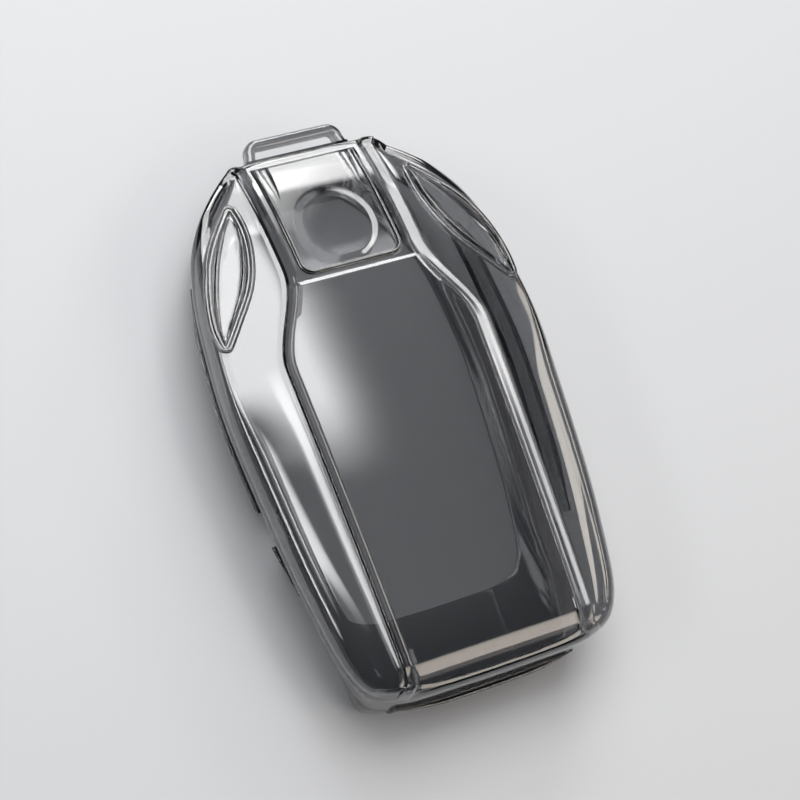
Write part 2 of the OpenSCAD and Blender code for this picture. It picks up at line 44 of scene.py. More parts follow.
# The closed cover's main sizes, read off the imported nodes, in millimetres
frontLow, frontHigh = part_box("front_shell")
loopLow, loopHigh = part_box("key_loop")
cover = {
    "wall": 1.2,
    "waistShare": 0.675,      # the widest line's height, as a share of the whole height
    "seatStep": 0.3,          # the loop's seat stands this far out of the top end
    "lowY": frontLow.y / mm,
    "halfWidth": frontHigh.x / mm,
    "height": frontHigh.z / mm,
    "seam": frontLow.z / mm,
}
cover["highY"] = frontHigh.y / mm - cover["seatStep"]
cover["length"] = cover["highY"] - cover["lowY"]
cover["waist"] = cover["waistShare"] * cover["height"]


def alongY(share):
    return cover["lowY"] + share * cover["length"]


# Small tools for curves
def mix(a, b, t):
    return a + (b - a) * t


def ease(t):
    c = min(1.0, max(0.0, t))
    return c * c * (3 - 2 * c)


def arc(steps, start, end):
    # angles from start to end, both in degrees
    return [math.radians(mix(start, end, n / steps)) for n in range(steps + 1)]


def spline(points, s):
    # a smooth line through the points, whose first and last only steer its ends
    i = min(len(points) - 3, max(1, int(math.floor(s)) + 1))
    t = s + 1 - i
    p0, p1, p2, p3 = (Vector(points[i + k]) for k in (-1, 0, 1, 2))
    return (p1 + (p2 - p0) * (t / 2) + (2 * p0 - 5 * p1 + 4 * p2 - p3) * (t * t / 2)
            + (3 * p1 - p0 - 3 * p2 + p3) * (t * t * t / 2))


def stations(start, *stretches):
    # places along a line: each stretch is its end and its number of steps
    places = [start]
    for end, steps in stretches:
        places += [mix(start, end, n / steps) for n in range(1, steps + 1)]
        start = end
    return places


def findShare(test, low, high, halvings=16):
    # halves the stretch until test changes there
    for _ in range(halvings):
        middle = (low + high) / 2
        if test(middle):
            low = middle
        else:
            high = middle
    return (low + high) / 2


# Half outline at the waist, bottom centre to top centre, as shares of half width and length
waistShares = [
    (0, 0), (0.285, 0.001), (0.497, 0.003), (0.638, 0.012), (0.735, 0.026), (0.802, 0.05),
    (0.847, 0.082), (0.878, 0.124), (0.906, 0.181), (0.936, 0.251), (0.958, 0.324),
    (0.975, 0.399), (0.99, 0.473), (1, 0.548), (0.993, 0.613), (0.975, 0.677),
    (0.951, 0.741), (0.909, 0.804), (0.846, 0.859), (0.747, 0.908), (0.639, 0.945),
    (0.55, 0.97), (0.487, 0.986), (0.43, 0.997), (0.302, 0.999), (0, 1)]
lastShare = len(waistShares) - 1
waistLine = ([(-waistShares[1][0], waistShares[1][1])] + waistShares
             + [(-waistShares[-2][0], waistShares[-2][1])])
form = {
    "cornerShare": 4.6, "crestShare": 21.2,      # where the front's side begins and ends
    "crownRadius": 806, "crownY": 0.33,
    "fallY": 0.72, "fallShare": 0.238,
    "noseY": 0.064, "noseRadius": 5,
    "wingDrop": 1.6, "wingPower": 1.6,
    "shoulder": 3.3,
    "narrowShare": 0.45, "narrowY": 0.46, "narrowRun": 0.17,
    "endShare": 0.15, "endParts": 3,
    "lowShare": 0.42, "lowStart": 1, "lowRun": 3,
    "sideLean": 0.5, "endLean": 0.38, "leanLow": 0.13, "leanHigh": 0.86, "leanRun": 0.12,
    "stepY": 0.748, "stepWidth": 0.8, "stepHeight": 0.3, "stepMargin": 0.7, "stepPower": 4,
    "bow": 5, "leastDrop": 0.5, "dropShare": 1.1,
}
rail = {"crest": 1.5, "flank": 0.45, "height": 0.9, "innerShare": 0.62,
        "topX": 11.85, "wideX": 17.75, "endX": 16.5, "swingLow": 0.602, "swingHigh": 0.778}


def waist(s):
    p = spline(waistLine, s)
    return Vector((p.x * cover["halfWidth"], alongY(p.y)))


def outward(s, probe=0.05):
    if s <= 0:
        return Vector((0, -1))
    if s >= lastShare:
        return Vector((0, 1))
    d = waist(min(lastShare, s + probe)) - waist(max(0, s - probe))
    return Vector((d.y, -d.x)).normalized()


def crestZ(y):
    fallY = alongY(form["fallY"])
    nose = max(0, alongY(form["noseY"]) - y)
    fall = max(0, y - fallY) / (cover["highY"] - fallY)
    return (cover["height"] - (y - alongY(form["crownY"])) ** 2 / (2 * form["crownRadius"])
            - form["fallShare"] * cover["height"] * fall ** 2
            - nose ** 2 / (2 * form["noseRadius"]))


def railX(y):
    low, high = alongY(rail["swingLow"]), alongY(rail["swingHigh"])
    if y > low:
        return mix(rail["wideX"], rail["topX"], ease((y - low) / (high - low)))
    return mix(rail["wideX"], rail["endX"], (low - y) / (low - cover["lowY"]))


def shoulderWidth(s):
    near = ease((waist(s).y - alongY(form["narrowY"])) / (form["narrowRun"] * cover["length"]))
    top = ease((s - form["crestShare"])
               / ((lastShare - form["crestShare"]) / form["endParts"]))
    low = ease((form["cornerShare"] + form["lowStart"] - s) / form["lowRun"])
    return (form["shoulder"] * (1 - form["narrowShare"] * near)
            * (1 - (1 - form["endShare"]) * top) * (1 - (1 - form["lowShare"]) * low))


def crease(s):
    # the front's edge, where the shoulder begins
    return waist(s) - outward(s) * shoulderWidth(s)


def sideShare(y):
    return findShare(lambda m: crease(m).y < y, form["cornerShare"], form["crestShare"])


def panelTop(y):
    return crestZ(y) - rail["height"]


def panelZ(x, y):
    # between the rails, with the small step between the panel and the screen's window
    screen = 1 - ease((y - alongY(form["stepY"])) / form["stepWidth"] + 0.5)
    return (panelTop(y)
            + screen * form["stepHeight"] * (1 - (x / rail["wideX"]) ** form["stepPower"]))


def wingZ(x, y, side):
    # beside the rails, out to the crease
    foot = railX(y) + rail["crest"] / 2 + rail["flank"]
    w = min(1, max(0, (x - foot) / max(cover["wall"], side - foot)))
    half = rail["height"] / 2
    return crestZ(y) - half - (form["wingDrop"] - half) * w ** form["wingPower"]


def wallLean(n, y):
    # how far the wall leans in for each millimetre below the waist
    run = form["leanRun"] * cover["length"]
    middle = (ease((y - alongY(form["leanLow"])) / run)
              * ease((alongY(form["leanHigh"]) - y) / run))
    return n.x * n.x * mix(form["endLean"], form["sideLean"], middle)


def wallPlace(s, out, z):
    n, w = outward(s), waist(s)
    p = w + n * (out - wallLean(n, w.y) * max(0, cover["waist"] - z))
    return Vector((p.x, p.y, z))


# Modelling helpers, used by every piece
def startClean():
    if bpy.context.object and bpy.context.object.mode != "OBJECT":
        bpy.ops.object.mode_set(mode="OBJECT")
    bpy.ops.object.select_all(action="DESELECT")


def takeHold(*pieces):
    startClean()
    for piece in pieces:
        piece.select_set(True)
    bpy.context.view_layer.objects.active = pieces[0]


def pickOpenEdges():
    # leaves the active piece in edit mode
    bpy.ops.object.mode_set(mode="EDIT")
    bpy.ops.mesh.select_mode(type="EDGE")
    bpy.ops.mesh.select_all(action="DESELECT")
    bpy.ops.mesh.select_non_manifold()


def closeEnds(piece):
    pickOpenEdges()
    bpy.ops.mesh.edge_face_add()
    bpy.ops.object.mode_set(mode="OBJECT")
    mendSkin(piece)


def mendSkin(piece, gap=0.0005):
    takeHold(piece)
    bpy.ops.object.mode_set(mode="EDIT")
    bpy.ops.mesh.select_all(action="SELECT")
    bpy.ops.mesh.remove_doubles(threshold=gap * mm)
    bpy.ops.mesh.normals_make_consistent(inside=False)
    bpy.ops.object.mode_set(mode="OBJECT")


def spotKey(co, digits=7):
    return tuple(round(c, digits) for c in co)


def pullRing(piece, ring, nextRing):
    # extrudes the selected open edge once and sets each new point at its next place
    bpy.ops.object.mode_set(mode="EDIT")
    bpy.ops.mesh.extrude_region_move()
    bpy.ops.object.mode_set(mode="OBJECT")
    goal = {spotKey(old * mm): new * mm for old, new in zip(ring, nextRing)}
    for point in piece.data.vertices:
        if point.select:
            point.co = goal[spotKey(point.co)]


def loft(name, rings, ends="open"):
    # a skin through rings of points, from a circle that is extruded ring by ring
    startClean()
    bpy.ops.mesh.primitive_circle_add(vertices=len(rings[0]), radius=1, fill_type="NOTHING")
    piece = bpy.context.object
    piece.name = name
    for point, place in zip(piece.data.vertices, rings[0]):
        point.co = place * mm
    bpy.ops.object.mode_set(mode="EDIT")
    bpy.ops.mesh.select_all(action="SELECT")
    if ends == "capped":
        bpy.ops.mesh.edge_face_add()
        bpy.ops.mesh.select_all(action="SELECT")
    bpy.ops.object.mode_set(mode="OBJECT")
    for ring, nextRing in zip(rings, rings[1:]):
        pullRing(piece, ring, nextRing)
    if ends == "ring":
        # bridges the last ring back to the first
        first = {spotKey(p * mm) for p in rings[0]}
        for point in piece.data.vertices:
            if spotKey(point.co) in first:
                point.select = True
        for edge in piece.data.edges:
            edge.select = all(piece.data.vertices[v].select for v in edge.vertices)
        bpy.ops.object.mode_set(mode="EDIT")
        bpy.ops.mesh.bridge_edge_loops()
        bpy.ops.object.mode_set(mode="OBJECT")
    mendSkin(piece)
    return piece


def prism(name, outline, low, high):
    # an upright solid over a flat outline
    return loft(name, [[Vector((p.x, p.y, z)) for p in outline] for z in (low, high)],
                ends="capped")


def block(name, low, high):
    corners = [Vector((low[0], low[1])), Vector((high[0], low[1])),
               Vector((high[0], high[1])), Vector((low[0], high[1]))]
    return prism(name, corners, low[2], high[2])


def combine(piece, tool, how):
    # joins another closed solid to the piece, or cuts it away
    step = piece.modifiers.new("combine", "BOOLEAN")
    step.operation = how
    step.solver = "MANIFOLD"
    step.object = tool
    takeHold(piece)
    bpy.ops.object.modifier_apply(modifier=step.name)
    bpy.data.objects.remove(tool)


def joinPieces(name, pieces):
    takeHold(*pieces)
    bpy.ops.object.join()
    pieces[0].name = name
    return pieces[0]


def mirrorCopy(piece, name):
    twin = piece.copy()
    twin.data = piece.data.copy()
    twin.name = name
    bpy.context.scene.collection.objects.link(twin)
    for point in twin.data.vertices:
        point.co.x = -point.co.x
    twin.data.flip_normals()
    return twin


def smoothFinish(piece, angle=32):
    takeHold(piece)
    bpy.ops.object.shade_smooth_by_angle(angle=math.radians(angle))


def settle(piece, body, material, slotName, *nodes):
    piece.data.materials.clear()
    piece.data.materials.append(material)
    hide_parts(*nodes)
    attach(piece, body)
    print(piece.name, "has", len(piece.data.polygons), "faces")


def addNode(nodes, kind, values=None):
    node = nodes.new("ShaderNode" + kind)
    for name, value in (values or {}).items():
        node.inputs[name].default_value = value
    return node


# Clear moulded plastic: a glossy see-through skin with a light smoky tint in its depth
plastic = {
    "skin": {"Transmission Weight": 1, "IOR": 1.585, "Coat Weight": 1,
             "Coat IOR": 1.6, "Coat Roughness": 0.02},
    "flow": {"Scale": 60, "Detail": 3}, "flowShade": 0.97,
    "smear": {"Scale": 240, "Detail": 5}, "smearLow": 0.35, "smearHigh": 0.75,
    "ripple": {"Scale": 90, "Detail": 1}, "rippleDepth": 0.0004,
}
shellLook = {"tint": (0.95, 0.95, 0.95), "depthTint": (0.30, 0.31, 0.33), "density": 760,
             "roughLow": 0.01, "roughHigh": 0.035, "wave": 0.05}
padLook = {"tint": (0.95, 0.95, 0.95), "depthTint": (0.32, 0.33, 0.35), "density": 660,
           "roughLow": 0.015, "roughHigh": 0.045, "wave": 0.08}


def clearPlastic(name, look):
    material = bpy.data.materials.new(name)
    material.use_nodes = True
    nodes, links = material.node_tree.nodes, material.node_tree.links
    nodes.clear()
    output = addNode(nodes, "OutputMaterial")
    skin = addNode(nodes, "BsdfPrincipled", plastic["skin"])
    place = addNode(nodes, "TexCoord")
    # faint flow marks from the mould tint the plastic unevenly
    flow = addNode(nodes, "TexNoise", plastic["flow"])
    tints = addNode(nodes, "ValToRGB")
    tints.color_ramp.elements[0].color = (*[c * plastic["flowShade"] for c in look["tint"]], 1)
    tints.color_ramp.elements[1].color = (*look["tint"], 1)
    # handling leaves the gloss a little uneven
    smear = addNode(nodes, "TexNoise", plastic["smear"])
    gloss = addNode(nodes, "MapRange", {
        "From Min": plastic["smearLow"], "From Max": plastic["smearHigh"],
        "To Min": look["roughLow"], "To Max": look["roughHigh"]})
    # a slow waviness bends the highlights
    ripple = addNode(nodes, "TexNoise", plastic["ripple"])
    bump = addNode(nodes, "Bump", {"Strength": look["wave"],
                                   "Distance": plastic["rippleDepth"]})
    for texture in (flow, smear, ripple):
        links.new(place.outputs["Object"], texture.inputs["Vector"])
    links.new(flow.outputs["Fac"], tints.inputs["Fac"])
    links.new(tints.outputs["Color"], skin.inputs["Base Color"])
    links.new(smear.outputs["Fac"], gloss.inputs["Value"])
    links.new(gloss.outputs["Result"], skin.inputs["Roughness"])
    links.new(ripple.outputs["Fac"], bump.inputs["Height"])
    links.new(bump.outputs["Normal"], skin.inputs["Normal"])
    # lamps shine through, so the shadow stays soft and grey
    light = addNode(nodes, "LightPath")
    clear = addNode(nodes, "BsdfTransparent", {"Color": (*look["tint"], 1)})
    choose = addNode(nodes, "MixShader")
    links.new(light.outputs["Is Shadow Ray"], choose.inputs["Fac"])
    links.new(skin.outputs["BSDF"], choose.inputs[1])
    links.new(clear.outputs["BSDF"], choose.inputs[2])
    links.new(choose.outputs["Shader"], output.inputs["Surface"])
    depth = addNode(nodes, "VolumeAbsorption", {"Color": (*look["depthTint"], 1),
                                                "Density": look["density"]})
    links.new(depth.outputs["Volume"], output.inputs["Volume"])
    return material


shellPlastic = clearPlastic("clearShellPlastic", shellLook)
padPlastic = clearPlastic("clearPadPlastic", padLook)


# Front shell: a grid over the front, pulled round the shoulder and down the wall
frontMesh = {"panelSteps": 16, "flankSteps": 5, "crestSteps": 3, "wingSteps": 16,
             "lowRows": 120, "stepRows": 8, "highRows": 42,
             "shoulderSteps": 10, "wallSteps": 5,
             "outsideRails": 1, "insideRails": 0}     # shares of the rails' full height
lowFrontY, highFrontY = crease(0).y, crease(lastShare).y
stepY, stepReach = alongY(form["stepY"]), form["stepWidth"] * form["stepMargin"]
rowYs = stations(lowFrontY, (stepY - stepReach, frontMesh["lowRows"]),
                 (stepY + stepReach, frontMesh["stepRows"]), (highFrontY, frontMesh["highRows"]))
rowCount = len(rowYs)


def rowSide(i):
    if i == 0:
        return form["cornerShare"]
    if i == rowCount - 1:
        return form["crestShare"]
    t = (rowYs[i] - lowFrontY) / (highFrontY - lowFrontY)
    return sideShare(mix(crease(form["cornerShare"]).y, crease(form["crestShare"]).y, t))


rowSides = [rowSide(i) for i in range(rowCount)]


def columnPlaces(i):
    # half a row: each place has its x, and how far it is up the rail
    y, side = rowYs[i], crease(rowSides[i]).x
    c, a = railX(y), rail["crest"] / 2
    b = a + rail["flank"]
    n, f, k, w = (frontMesh[s] for s in ("panelSteps", "flankSteps", "crestSteps", "wingSteps"))
    places = [(mix(0, c - b, m / n), 0) for m in range(n)]
    inner = rail["innerShare"]
    # the crest leans towards the middle
    places += [(mix(c - b, c - a, m / f), inner * ease(m / f)) for m in range(f)]
    places += [(mix(c - a, c + a, m / k), mix(inner, 1, m / k)) for m in range(k)]
    places += [(mix(c + a, c + b, m / f), 1 - ease(m / f)) for m in range(f)]
    places += [(mix(c + b, side, m / w), 0) for m in range(w + 1)]
    return places


rowColumns = [columnPlaces(i) for i in range(rowCount)]
reach = len(rowColumns[0]) - 1
frontCache = {}


def frontPlace(i, j, railShare=1):
    # railShare 0 leaves the rails out, as on the inside of the wall
    key = (i, j, railShare)
    if key not in frontCache:
        x, up = rowColumns[i][j]
        side = crease(rowSides[i])
        y = rowYs[i] + (side.y - rowYs[i]) * (x / side.x) ** form["bow"]
        c, b = railX(rowYs[i]), rail["crest"] / 2 + rail["flank"]
        inner, outer = panelZ(min(x, c - b), y), wingZ(max(x, c + b), y, side.x)
        base = mix(inner, outer, ease((x - c + b) / (2 * b)))
        frontCache[key] = Vector((x, y, mix(base, crestZ(y), up * railShare)))
    return frontCache[key]


def mirrored(v, k):
    return Vector((-v.x, *v[1:])) if k < 0 else v.copy()


# The grid's edge, once round, as row and signed column
borderSpots = ([(0, k) for k in range(-reach, reach)]
               + [(i, reach) for i in range(rowCount - 1)]
               + [(rowCount - 1, k) for k in range(reach, -reach, -1)]
               + [(i, -reach) for i in range(rowCount - 1, 0, -1)])


def borderShare(i, k):
    k = abs(k)
    if k == reach:
        return rowSides[i]
    x = frontPlace(i, k).x
    if i == 0:
        s = form["cornerShare"]
        goal = x * waist(s).x / crease(s).x
        return findShare(lambda m: waist(m).x < goal, 0, s)
    s = form["crestShare"]
    goal = x * waist(s).x / crease(s).x
    return findShare(lambda m: waist(m).x > goal, s, lastShare)


borderShares = {spot: borderShare(*spot) for spot in borderSpots}


def stepBack(p, spot, inset):
    # keeps an edge point at least inset inside the waist's outline
    s = borderShares[spot]
    n, w = mirrored(outward(s), spot[1]), mirrored(waist(s), spot[1])
    flat = Vector((p.x, p.y))
    flat -= n * max(0, inset - (w - flat).length)
    return flat, n, w


def frontSkin(name, inset, railShare):
    columns, rows = 2 * reach, rowCount - 1
    startClean()
    bpy.ops.mesh.primitive_grid_add(x_subdivisions=columns, y_subdivisions=rows, size=2)
    piece = bpy.context.object
    piece.name = name

    def gridPlace(i, k):
        return mirrored(frontPlace(i, abs(k), railShare), k)

    for point in piece.data.vertices:
        i = round((point.co.y + 1) / 2 * rows)
        k = round((point.co.x + 1) / 2 * columns) - reach
        p = gridPlace(i, k)
        if inset and (i, k) in borderShares:
            flat, _, _ = stepBack(p, (i, k), inset)
            p.x, p.y = flat
        point.co = (p - Vector((0, 0, inset))) * mm
    ring = []
    for spot in borderSpots:
        p = gridPlace(*spot)
        flat, _, _ = stepBack(p, spot, inset)
        ring.append(Vector((flat.x, flat.y, p.z - inset)))
    pickOpenEdges()
    bpy.ops.object.mode_set(mode="OBJECT")
    stages = [(m / frontMesh[steps], steps == "shoulderSteps")
              for steps in ("shoulderSteps", "wallSteps")
              for m in range(1, frontMesh[steps] + 1)]
    for t, onShoulder in stages:
        nextRing = []
        for spot in borderSpots:
            p = gridPlace(*spot)
            flat, n, w = stepBack(p, spot, inset)
            low = min(cover["waist"], p.z - form["leastDrop"],
                      p.z - form["dropShare"] * inset)
            if onShoulder:
                a = math.pi / 2 * t
                xy = flat.lerp(w - n * inset, math.sin(a))
                z = mix(p.z - inset, low, 1 - math.cos(a))
            else:
                z = mix(low, cover["seam"], t)
                xy = w - n * (wallLean(n, w.y) * max(0, cover["waist"] - z) + inset)
            nextRing.append(Vector((xy.x, xy.y, z)))
        pullRing(piece, ring, nextRing)
        ring = nextRing
    return piece


# The leaf pads' two edges, from the top tip to the bottom tip, as shares
leafInner = [(0.567, 0.912), (0.563, 0.884), (0.569, 0.858), (0.586, 0.832), (0.613, 0.805),
             (0.646, 0.781), (0.687, 0.759), (0.735, 0.739), (0.784, 0.72), (0.834, 0.7),
             (0.893, 0.677)]
leafOuter = [(0.567, 0.912), (0.632, 0.889), (0.69, 0.868), (0.742, 0.846), (0.785, 0.825),
             (0.82, 0.801), (0.849, 0.777), (0.872, 0.752), (0.888, 0.728), (0.897, 0.702),
             (0.893, 0.677)]
leaf = {
    "steps": 60, "crown": 0.25, "thick": 1.0, "gap": 0.25, "cutDepth": 0.6,
    "tipSteps": 6,            # the opening's tips are rounded in this many steps
    "tipShare": 0.003,        # the pad's rows stop this far short of its tips
    "bead": 0.8, "beadHeight": 0.42, "fullBeads": 2.4,
    # the bead's rise at each share of the way across, then plain shares to the middle
    "beadRise": {0: 0, 0.035: 0.55, 0.06: 0.9, 0.085: 1, 0.11: 1, 0.135: 0.9, 0.16: 0.55,
                 0.185: 0.15},
    "plainShares": [0.22, 0.3, 0.4, 0.5],
    "borderGap": 0.2, "borderWidth": 1.0, "borderHeight": 0.5, "borderSink": 0.04,
    "borderPoints": 14, "borderProbe": 0.1,
}


def straightOn(shares):
    # one more point past each end
    return ([tuple(2 * a - b for a, b in zip(shares[0], shares[1]))] + shares
            + [tuple(2 * a - b for a, b in zip(shares[-1], shares[-2]))])


def leafEdge(shares, t):
    p = spline(straightOn(shares), t * (len(shares) - 1))
    return Vector((p.x * cover["halfWidth"], alongY(p.y)))


def skinZ(p):
    # the front's own height beside a leaf pad, also on the shoulder past the crease
    s = sideShare(p.y)
    side = crease(s).x
    over = min(1, max(0, (p.x - side) / (waist(s).x - side)))
    return mix(cover["waist"], wingZ(min(p.x, side), p.y, side), math.sqrt(1 - over * over))


def leafOutline(away):
    # once round the pad, this far outside it, and rounded at its tips
    steps, fan = leaf["steps"], leaf["tipSteps"]
    points = [leafEdge(leafInner, n / steps) for n in range(steps + 1)]
    points += [leafEdge(leafOuter, 1 - n / steps) for n in range(1, steps)]
    count, grown = len(points), []
    for n, p in enumerate(points):
        before = (p - points[n - 1]).normalized()
        after = (points[(n + 1) % count] - p).normalized()
        turns = [k / fan for k in range(fan + 1)] if n in (0, steps) else [0.5]
        for t in turns:
            d = before.slerp(after, t)
            grown.append(p + Vector((d.y, -d.x)) * away)
    return grown


def leafBorder(name):
    # a low rounded rib that follows the pad's outline
    away = leaf["gap"] + leaf["borderGap"] + leaf["borderWidth"] / 2
    middle = leafOutline(away)
    outer = leafOutline(away + leaf["borderProbe"])
    rings, count = [], leaf["borderPoints"]
    for a in (2 * math.pi * n / count for n in range(count)):
        ring = []
        for m, o in zip(middle, outer):
            side = (o - m).normalized()
            flat = m + side * (math.cos(a) * leaf["borderWidth"] / 2)
            z = skinZ(m) - leaf["borderSink"] + math.sin(a) * leaf["borderHeight"]
            ring.append(Vector((flat.x, flat.y, z)))
        rings.append(ring)
    return loft(name, rings, ends="ring")


panel = {
    "width": 19.2, "length": 20.9, "thick": 1.0, "corner": 2.4, "leastCorner": 0.05,
    "hingeGap": 0.1, "gap": 0.25,
    "cornerSteps": 10, "sideSteps": 30, "endSteps": 24,
    "edgeDrops": (0.6, 0.14), "rimInset": 0.05, "rimDrop": 0.03,
    "bead": 0.72, "beadHeight": 0.35, "beadEdge": 0.12, "beadPower": 0.7, "beadSteps": 8,
    "fadeStart": 0.9, "fadeRun": 0.8,        # the bead fades out before the hinge edge
    "hingeStep": 0.02, "faceInset": 0.02, "faceTop": 0.3,
    "discRadius": 7.2, "discY": 30.7, "discDepth": 0.16, "discLip": 1.3, "discMargin": 0.05,
    "faceSteps": 16, "lipSteps": 8, "dishSteps": 8,
    "fluteX": 7.55, "fluteLength": 6.6, "fluteWide": 0.95, "fluteDepth": 0.4,
    "fluteStart": 0.6, "fluteTip": 0.03, "fluteFall": 2.4, "fluteRound": 0.8,
    "fluteSteps": 28, "flutePoints": 48,
}
panel["hingeY"] = highFrontY - cover["wall"] - panel["hingeGap"]
panel["lowY"] = panel["hingeY"] - panel["length"]


def panelOutline(grow, top):
    # once round, anticlockwise from the bottom left corner's end
    w, low, high = panel["width"] / 2 + grow, panel["lowY"] - grow, panel["hingeY"] + top
    r = max(panel["leastCorner"], panel["corner"] + grow)
    ends, sides, turns = panel["endSteps"], panel["sideSteps"], panel["cornerSteps"]
    angles = [math.pi / 2 * n / turns for n in range(turns)]
    points = [Vector((mix(r - w, w - r, n / ends), low)) for n in range(ends)]
    points += [Vector((w - r + r * math.sin(a), low + r - r * math.cos(a))) for a in angles]
    points += [Vector((w, mix(low + r, high, n / sides))) for n in range(sides)]
    points += [Vector((mix(w, -w, n / ends), high)) for n in range(ends)]
    points += [Vector((-w, mix(high, low + r, n / sides))) for n in range(sides)]
    points += [Vector((r - w - r * math.cos(a), low + r - r * math.sin(a))) for a in angles]
    return points


# The cut-out for the key's side button, through both shells on the left
sideCut = {"frontLow": 1, "rearLow": 2.2, "high": 8.4, "topY": alongY(0.397), "length": 5.9}


def cutSideButton(shell, low):
    cut = block("buttonCut", (-cover["halfWidth"] * 2, sideCut["topY"] - sideCut["length"], low),
                (-rail["wideX"], sideCut["topY"], sideCut["high"]))
    combine(shell, cut, "DIFFERENCE")


def makeFrontShell(cutRise=2):
    outer = frontSkin("frontShell", 0, frontMesh["outsideRails"])
    inner = frontSkin("frontShellInside", cover["wall"], frontMesh["insideRails"])
    inner.data.flip_normals()
    shell = joinPieces("frontShell", [outer, inner])
    pickOpenEdges()
    bpy.ops.mesh.bridge_edge_loops()
    bpy.ops.object.mode_set(mode="OBJECT")
    mendSkin(shell)
    right = leafBorder("leafBorder")
    left = mirrorCopy(right, "leafBorderLeft")
    w, seat = (loopHigh.x - loopLow.x) / 2 / mm, cover["highY"]
    seatBlock = block("loopSeat", (-w, seat - cover["wall"] / 2, loopLow.z / mm),
                      (w, seat + cover["seatStep"], loopHigh.z / mm))
    for extra in (right, left, seatBlock):
        combine(shell, extra, "UNION")
    high = cover["height"] + cutRise
    window = prism("panelHole", panelOutline(panel["gap"], panel["hingeGap"]),
                   cover["seam"], high)
    combine(shell, window, "DIFFERENCE")
    for flip in (False, True):
        outline = leafOutline(leaf["gap"])
        if flip:
            outline = [Vector((-p.x, p.y)) for p in reversed(outline)]
        hole = prism("leafHole", list(reversed(outline)), cover["waist"] - leaf["cutDepth"],
                     high)
        combine(shell, hole, "DIFFERENCE")
    cutSideButton(shell, sideCut["frontLow"])
    smoothFinish(shell)
    return shell


frontShell = makeFrontShell()
settle(frontShell, "front", shellPlastic, "clear_shell", "front_shell")


# Leaf pads: a slightly domed leaf with a rounded bead along both edges
def leafPad(name):
    across = list(leaf["beadRise"]) + leaf["plainShares"]
    across += [1 - c for c in reversed(across[:-1])]
    steps, tip = leaf["steps"], leaf["tipShare"]
    startClean()
    bpy.ops.mesh.primitive_grid_add(x_subdivisions=len(across) - 1, y_subdivisions=steps, size=2)
    pad = bpy.context.object
    pad.name = name
    for point in pad.data.vertices:
        row = round((point.co.y + 1) / 2 * steps) / steps
        share = across[round((point.co.x + 1) / 2 * (len(across) - 1))]
        row = min(1 - tip, max(tip, row))
        a, b = leafEdge(leafInner, row), leafEdge(leafOuter, row)
        near = min(1, (b - a).length / (leaf["fullBeads"] * leaf["bead"]))
        p = a.lerp(b, share)
        edge = round(min(share, 1 - share), 4)
        z = (skinZ(p) + leaf["crown"] * 4 * share * (1 - share)
             + leaf["beadHeight"] * leaf["beadRise"].get(edge, 0) * near)
        point.co = Vector((p.x, p.y, z)) * mm
    bpy.ops.object.mode_set(mode="EDIT")
    bpy.ops.mesh.select_all(action="SELECT")
    bpy.ops.mesh.extrude_region_move(
        TRANSFORM_OT_translate={"value": (0, 0, -leaf["thick"] * mm)})
    bpy.ops.object.mode_set(mode="OBJECT")
    mendSkin(pad)
    smoothFinish(pad)
    return pad


rightPad = leafPad("rightLeafPad")
leftPad = mirrorCopy(rightPad, "leftLeafPad")
settle(rightPad, "right_pad", padPlastic, "clear_pad", "right_leaf_pad")
settle(leftPad, "left_pad", padPlastic, "clear_pad", "left_leaf_pad")


# Button panel: rings from its underside up the edge, over the bead and in to the round recess
def fluteTool(name):
    # a long teardrop that lies in the panel's face, its round end past the hinge edge
    rings, start = [], panel["fluteStart"]
    for n in range(panel["fluteSteps"] + 1):
        t = n / panel["fluteSteps"]
        y = panel["hingeY"] + start - t * (panel["fluteLength"] + start)
        share = max(panel["fluteTip"], (1 - t ** panel["fluteFall"]) ** panel["fluteRound"])
        wide, deep = panel["fluteWide"] * share, panel["fluteDepth"] * share
        radius = (wide ** 2 + deep ** 2) / (2 * deep)
        middle = panelTop(y) + radius - deep
        angles = [2 * math.pi * k / panel["flutePoints"] for k in range(panel["flutePoints"])]
        rings.append([Vector((panel["fluteX"] + radius * math.cos(a), y,
                              middle + radius * math.sin(a))) for a in angles])
    return loft(name, rings, ends="capped")


